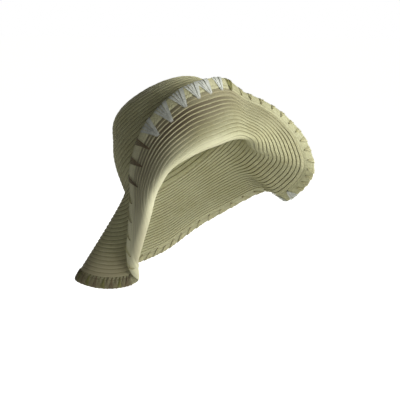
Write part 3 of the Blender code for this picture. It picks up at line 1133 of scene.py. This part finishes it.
def sewn_straw():
    material, tree, shader, uv, place = start_material("Sewn straw")
    rows = use_group(tree, plait, UV=uv)
    lines = use_group(tree, fibres, UV=metric_uv(tree, uv, ROW_WIDTH))
    sun = use_group(tree, weather, Place=place)
    stripe, clear, painted_light, tan_and_painted_shade = (read_mark(tree, name) for name in ("stripe", "clear", "painted_light", "tan_and_painted_shade"))
    warmth = plus(tree, times(tree, rows["Strand tint"], 0.35), times(tree, sun["Tan"], 0.45))
    worn = times(tree, less(tree, 1.0, clear), 0.75)
    worn_and_painted_light = maths(tree, "MAXIMUM", worn, times(tree, painted_light, 0.9), clamp=True)
    plaited = plus(tree, LEAST_PLAIT, times(tree, clear, 1.0 - LEAST_PLAIT), clamp=True)
    colour = mixed(tree, warmth, CREAM, HONEY)
    for share, tint in (
        (times(tree, lines["Tint"], 0.14), FLECK_BROWN),
        (times(tree, sun["Flecks"], 0.35), FLECK_BROWN),
        # painted light down the fold, and pale where the rows are worn flat
        (worn_and_painted_light, PALE_WEAR_AND_PAINTED_LIGHT),
        # tan in front; painted shade on the fold's line and the flap's low end
        (times(tree, tan_and_painted_shade, 0.85), TAN_AND_PAINTED_SHADE),
        # brown stripes, partly painted shade
        (times(tree, stripe, less(tree, 1.0, rows["Lap line"])), STRIPE_BROWN_AND_SHADE),
        (times(tree, stripe, rows["Lap line"], 0.5), THREAD_PALE),
        # the seam: part dirt, part painted shade
        (times(tree, rows["Seam"], clear, 0.8, less(tree, 1.0, stripe)), SEAM_DIRT_AND_SHADE),
        (times(tree, rows["Gap"], plaited, 0.22), SEAM_DIRT_AND_SHADE),
    ):
        colour = mixed(tree, share, colour, tint)
    roughness = plus(tree, 0.62, times(tree, rows["Gap"], 0.25))
    height = plus(tree, times(tree, rows["Height"], plaited), times(tree, lines["Height"], 0.35))
    finish_material(tree, shader, colour, roughness, height, STRAW_RELIEF)
    return material


straw = sewn_straw()

# %% [markdown]
# ## Tan straw for the edge band
# The band's plait is wider and already modelled, so its material only adds the
# fibres, the colour and dark lines where the strands dive under each other. The
# tan value on its points mixes the worn cream with olive and tan, the brim's
# painted light lightens it down the fold, and a dark line of painted shade runs
# along the band near where it is sewn to the brim.

# %% Material: edge plait
OLIVE_TAN = (0.340, 0.325, 0.185, 1.0)
PLAIT_RELIEF = 0.0003


def edge_straw():
    material, tree, shader, uv, place = start_material("Edge plait")
    rows = use_group(tree, plait, UV=uv, Row_width=BAND_WIDTH, Strand=BAND_STRAND / 2)
    lines = use_group(tree, fibres, UV=metric_uv(tree, uv, BAND_WIDTH), Streaks=700.0)
    sun = use_group(tree, weather, Place=place, Cloud_scale=30.0)
    tan = read_mark(tree, "tan")
    warmth = plus(tree, times(tree, rows["Strand tint"], 0.6), times(tree, sun["Tan"], 0.4))
    browned = mixed(tree, warmth, TAN_AND_PAINTED_SHADE, OLIVE_TAN)
    browned = mixed(tree, times(tree, lines["Tint"], 0.30), browned, CREAM)
    worn = mixed(tree, times(tree, warmth, 0.6), CREAM, HONEY)
    # painted light down the fold, from the brim's own mark
    worn = mixed(tree, times(tree, read_mark(tree, "painted_light"), 0.8), worn, PALE_WEAR_AND_PAINTED_LIGHT)
    colour = mixed(tree, tan, worn, browned)
    dark = plus(tree, 0.10, times(tree, tan, 0.40))
    # the Gap lines are the plait's dark dips; the Seam line is painted shade along the band near where it
    # is sewn to the brim
    for line in ("Gap", "Seam"):
        colour = mixed(tree, times(tree, rows[line], dark), colour, SEAM_DIRT_AND_SHADE)
    roughness = plus(tree, 0.58, times(tree, rows["Gap"], 0.3))
    height = plus(tree, rows["Height"], times(tree, lines["Height"], 0.6))
    finish_material(tree, shader, colour, roughness, height, PLAIT_RELIEF)
    return material


edge_material = edge_straw()

# %% [markdown]
# ## Raffia
# Raffia ribbon is smoother than straw and has a soft shine along its fibres. The
# five colours of the stitches are one material made five times with other values.
# Where the ribbons crowd into their hole they are stained dark.

# %% Materials: raffia
RAFFIA_COLOURS = {
    "pale": dict(light=(0.780, 0.800, 0.700, 1.0), dark=(0.440, 0.460, 0.400, 1.0), stain=0.45),
    "brown": dict(light=(0.310, 0.250, 0.140, 1.0), dark=(0.150, 0.115, 0.060, 1.0), stain=0.30),
    "tan": dict(light=(0.350, 0.310, 0.175, 1.0), dark=(0.210, 0.180, 0.100, 1.0), stain=0.50),
    "natural": dict(light=(0.620, 0.600, 0.350, 1.0), dark=(0.500, 0.460, 0.240, 1.0), stain=0.85),
    "yellow": dict(light=(0.360, 0.350, 0.120, 1.0), dark=(0.130, 0.120, 0.045, 1.0), stain=0.60),
}
HOLE_BROWN = (0.110, 0.070, 0.035, 1.0)
RAFFIA_RELIEF = 0.0002


def raffia_material(name, light, dark, stain):
    material, tree, shader, _, place = start_material(name)
    lines = use_group(tree, fibres, UV=place, Streaks=1100.0, Stretch=0.35)
    sun = use_group(tree, weather, Place=place, Cloud_scale=160.0)
    shade = plus(tree, times(tree, lines["Tint"], 0.4), times(tree, sun["Tan"], 0.5))
    colour = mixed(tree, shade, light, dark)
    stained = times(tree, ramp_between(tree, read_mark(tree, "near_hole"), 0.78, 1.00), stain)
    colour = mixed(tree, stained, colour, HOLE_BROWN)
    roughness = plus(tree, 0.40, times(tree, lines["Tint"], 0.2))
    finish_material(tree, shader, colour, roughness, lines["Height"], RAFFIA_RELIEF)
    return material


finishes = {brim: straw, crown: straw, band: edge_material}
for colour, piece in raffia.items():
    finishes[piece] = raffia_material(f"Raffia {colour}", **RAFFIA_COLOURS[colour])
for piece, material in finishes.items():
    piece.data.materials.clear()
    piece.data.materials.append(material)
    print(piece.name, "is finished in", material.name)

# %% [markdown]
# ## Floor and light
# The picture is soft and bright: one broad light from the front, on the wearer's
# left, leaves the crown and the back flap in shade, and a weaker one in front and a
# pale room fill in. A weak light behind the hat shows its back without touching
# what the camera sees. The floor is plain and wide, well below the hat, which is
# shown at the height of a head. It glows to the camera, so that it meets the white
# room unseen.

# %% Floor, lights and room
FLOOR_DROP = 0.16
FLOOR_SIZE = 80.0
FLOOR_WHITE = (0.86, 0.86, 0.85, 1.0)
FLOOR_GLOW = 1.06
LIGHTS = [
    dict(name="key_light", place=(0.75, -1.50, 0.70), size=0.8, watts=24.0),
    dict(name="fill_light", place=(-0.35, -1.65, 0.05), size=1.0, watts=11.0),
    dict(name="back_light", place=(1.10, 1.25, 0.85), size=1.0, watts=7.0),
]
ROOM_LIGHT = 0.11


def seen_by_camera(tree):
    return tree.nodes.new("ShaderNodeLightPath").outputs["Is Camera Ray"]


bpy.ops.object.select_all(action="DESELECT")
bpy.ops.mesh.primitive_plane_add(size=FLOOR_SIZE, location=(0, 0, solid_box[0].z - FLOOR_DROP))
floor = bpy.context.object
floor.name = "floor"
floor_material = bpy.data.materials.new("Plain floor")
floor_material.use_nodes = True
tree = floor_material.node_tree
glow = times(tree, seen_by_camera(tree), FLOOR_GLOW)
white = {"Base Color": FLOOR_WHITE, "Emission Color": FLOOR_WHITE}
wire(tree, tree.nodes["Principled BSDF"], {**white, "Roughness": 0.9, "Emission Strength": glow})
floor.data.materials.append(floor_material)

for light in LIGHTS:
    place = Vector(light["place"])
    facing = (-place).to_track_quat("-Z", "Y").to_euler()
    bpy.ops.object.light_add(type="AREA", location=place, rotation=facing)
    lamp = bpy.context.object
    lamp.name = light["name"]
    lamp.data.size = light["size"]
    lamp.data.energy = light["watts"]

room = bpy.data.worlds.new("Pale room")
room.use_nodes = True
tree = room.node_tree
strength = plus(tree, ROOM_LIGHT, times(tree, seen_by_camera(tree), 1.0 - ROOM_LIGHT))
wire(tree, tree.nodes["Background"], {"Color": (1.0, 1.0, 1.0, 1.0), "Strength": strength})
bpy.context.scene.world = room
bpy.context.scene.view_settings.view_transform = "Standard"
print("lights:", [light["name"] for light in LIGHTS], "room light", ROOM_LIGHT)

# %% Finish: the pieces hang from the root, and the imported parts they stand for are hidden
for piece, node, slot in (
    (crown, "crown", "straw_braid"),
    (brim, "brim", "straw_braid"),
    (band, "edge_band", "edge_straw"),
):
    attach(piece, "root")
    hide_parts(node)
for colour, piece in raffia.items():
    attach(piece, "root")
